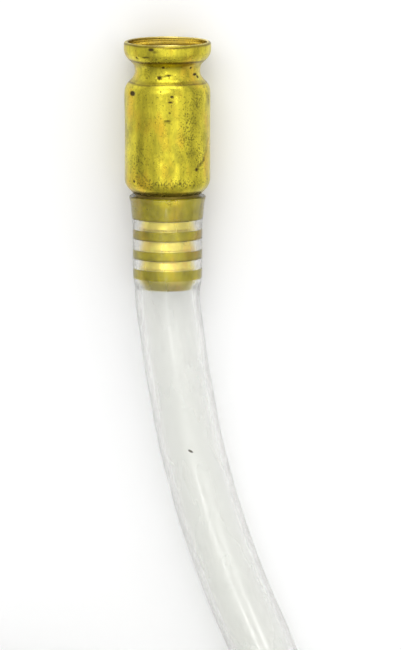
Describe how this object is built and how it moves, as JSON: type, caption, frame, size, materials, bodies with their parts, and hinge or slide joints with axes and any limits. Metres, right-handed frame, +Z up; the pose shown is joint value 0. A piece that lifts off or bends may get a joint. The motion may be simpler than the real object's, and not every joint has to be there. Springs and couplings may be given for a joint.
{
  "type": "self-priming siphon",
  "caption": "Shaker siphon: brass check-valve head with a free ball inside, barbed into a clear vinyl hose that is wound into a tied coil.",
  "frame": {"origin": "on the resting surface, under the middle of the brass head", "axes": "+Y along the head's axis, out of its mouth; the hose leaves towards -Y and bends over to +X; +Z up from the resting surface"},
  "size_m": [0.168, 0.327, 0.067],
  "materials": {
    "brass_shell": "polished, lightly tarnished",
    "brass_tail": "turned",
    "marble_glass": "polished",
    "clear_vinyl": "clear, soft gloss",
    "tie_nylon": "satin"
  },
  "bodies": {
    "siphon": {"head_shell": "brass_shell", "barbed_tail": "brass_tail", "ball_stop_pin": "brass_tail", "hose_end_sleeve": "clear_vinyl", "hose_run": "clear_vinyl", "hose_coil": "clear_vinyl", "coil_tie_1": "tie_nylon", "coil_tie_2": "tie_nylon"},
    "ball": {"check_ball": "marble_glass"}
  },
  "joints": [
    {"name": "ball_travel", "type": "slide", "parent": "siphon", "child": "ball", "axis": [0, 0.9948, 0.1016], "range_m": [0, 0.01275]}
  ]
}
